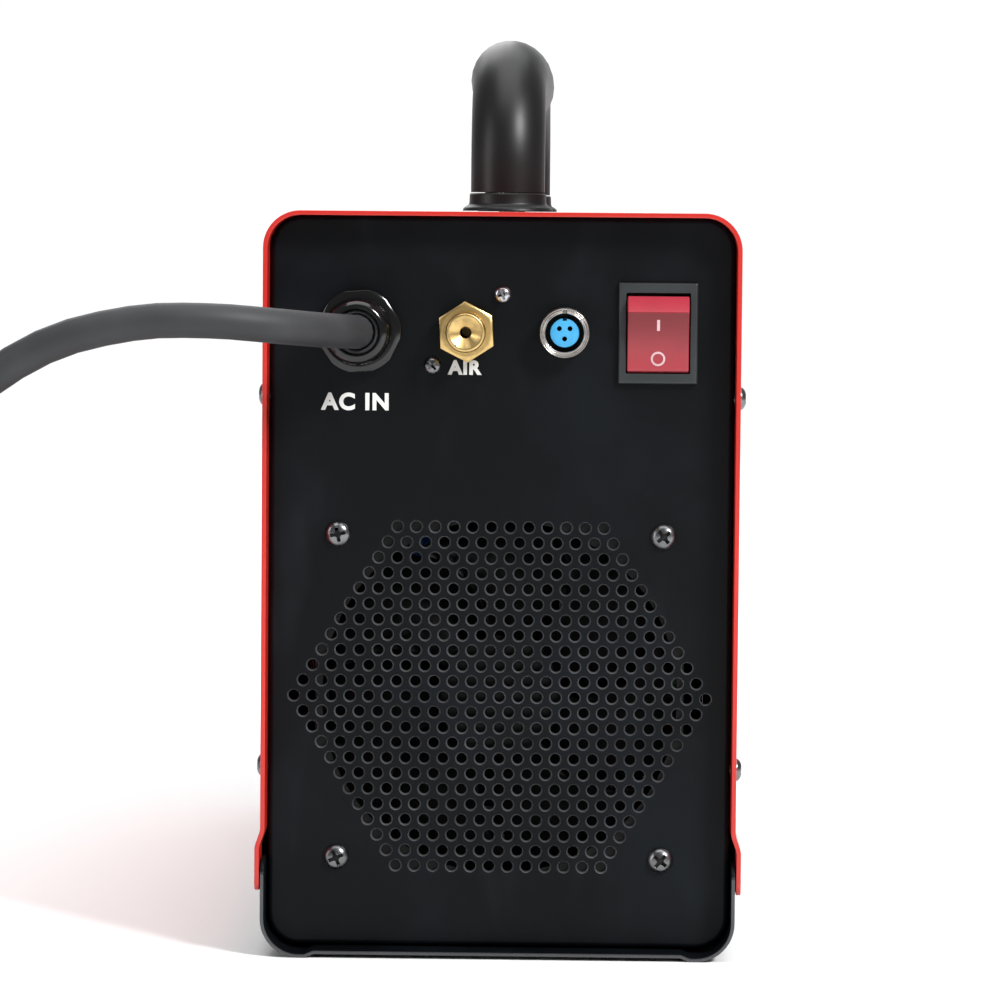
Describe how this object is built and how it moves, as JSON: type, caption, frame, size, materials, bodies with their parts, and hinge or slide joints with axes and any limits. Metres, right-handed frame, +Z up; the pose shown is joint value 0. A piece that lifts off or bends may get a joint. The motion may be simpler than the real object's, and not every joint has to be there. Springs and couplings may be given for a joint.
{
  "type": "plasma cutter power unit",
  "caption": "Box-shaped plasma cutter power unit: folded sheet-metal case with bow handle, fan grille, gas inlet, mains lead and rocker switch at the rear, controls and sockets at the front.",
  "frame": {"origin": "middle of the unit's footprint, at the level of the surface that it stands on", "axes": "+Y to the rear panel with the switch, gas inlet and fan grille; -Y to the front panel; +Z up"},
  "size_m": [0.4783, 0.4481, 0.3005],
  "materials": {
    "red_paint": "gloss",
    "black_paint": "satin",
    "black_plastic": "satin",
    "dark_steel": "satin",
    "bright_steel": "satin",
    "nickel": "gloss",
    "brass": "satin",
    "rubber": "matte",
    "switch_red": "satin",
    "bezel_grey": "matte",
    "insert_blue": "matte",
    "aluminium": "satin",
    "board_green": "satin",
    "ferrite": "matte",
    "capacitor_blue": "satin",
    "hose_blue": "satin",
    "dark_window": "gloss",
    "lamp_green": "gloss",
    "lamp_amber": "gloss"
  },
  "bodies": {
    "case": {"air_hose": "hose_blue", "base_pan": "black_paint", "bulk_capacitor": "capacitor_blue", "cable_tie": "black_plastic", "control_board": "board_green", "control_socket_insert": "insert_blue", "control_socket_nut": "nickel", "control_socket_shell": "nickel", "cover": "red_paint", "display_window": "dark_window", "fan_frame": "black_plastic", "fan_screw_1": "dark_steel", "fan_screw_2": "dark_steel", "fan_screw_3": "dark_steel", "fan_screw_4": "dark_steel", "front_panel": "black_paint", "gas_inlet_fitting": "brass", "gland_body": "black_plastic", "gland_dome_nut": "black_plastic", "gland_lock_nut": "black_plastic", "gland_seal": "rubber", "handle_bolt_front": "bright_steel", "handle_bolt_rear": "bright_steel", "handle_foot_front": "black_plastic", "handle_foot_rear": "black_plastic", "handle_grip": "black_plastic", "heat_sink": "aluminium", "led_power": "lamp_green", "led_warning": "lamp_amber", "main_board": "board_green", "main_transformer": "ferrite", "mains_lead": "rubber", "mains_lead_coil": "rubber", "mains_plug": "rubber", "output_choke": "ferrite", "potentiometer": "dark_steel", "rear_panel": "black_paint", "side_screw_1": "dark_steel", "side_screw_2": "dark_steel", "side_screw_3": "dark_steel", "side_screw_4": "dark_steel", "side_screw_5": "dark_steel", "side_screw_6": "dark_steel", "side_screw_7": "dark_steel", "side_screw_8": "dark_steel", "switch_housing": "bezel_grey", "torch_connector": "brass", "torch_insulator": "black_plastic", "trigger_socket": "nickel", "valve_body": "brass", "valve_coil": "black_plastic", "valve_screw_1": "bright_steel", "valve_screw_2": "dark_steel", "work_socket": "black_plastic", "work_socket_contact": "brass"},
    "rocker": {"switch_rocker": "switch_red"},
    "knob": {"current_knob": "black_plastic", "knob_shaft": "bright_steel"},
    "rotor": {"fan_rotor": "black_plastic"},
    "plunger": {"valve_plunger": "bright_steel"}
  },
  "joints": [
    {"name": "switch_rocker_tilt", "type": "hinge", "parent": "case", "child": "rocker", "pos_m": [-0.05, 0.1697, 0.202], "axis": [1, 0, 0], "range_deg": [0, 28]},
    {"name": "current_knob_turn", "type": "hinge", "parent": "case", "child": "knob", "pos_m": [0, -0.175, 0.158], "axis": [0, -1, 0], "range_deg": [-135, 135]},
    {"name": "fan_rotor_spin", "type": "hinge", "parent": "case", "child": "rotor", "pos_m": [0, 0.1607, 0.084], "axis": [0, 1, 0], "continuous": true},
    {"name": "valve_plunger_slide", "type": "slide", "parent": "case", "child": "plunger", "axis": [0, 0, -1], "range_m": [0, 0.0014], "stiffness_N_per_m": 300, "springref_m": -0.003}
  ]
}
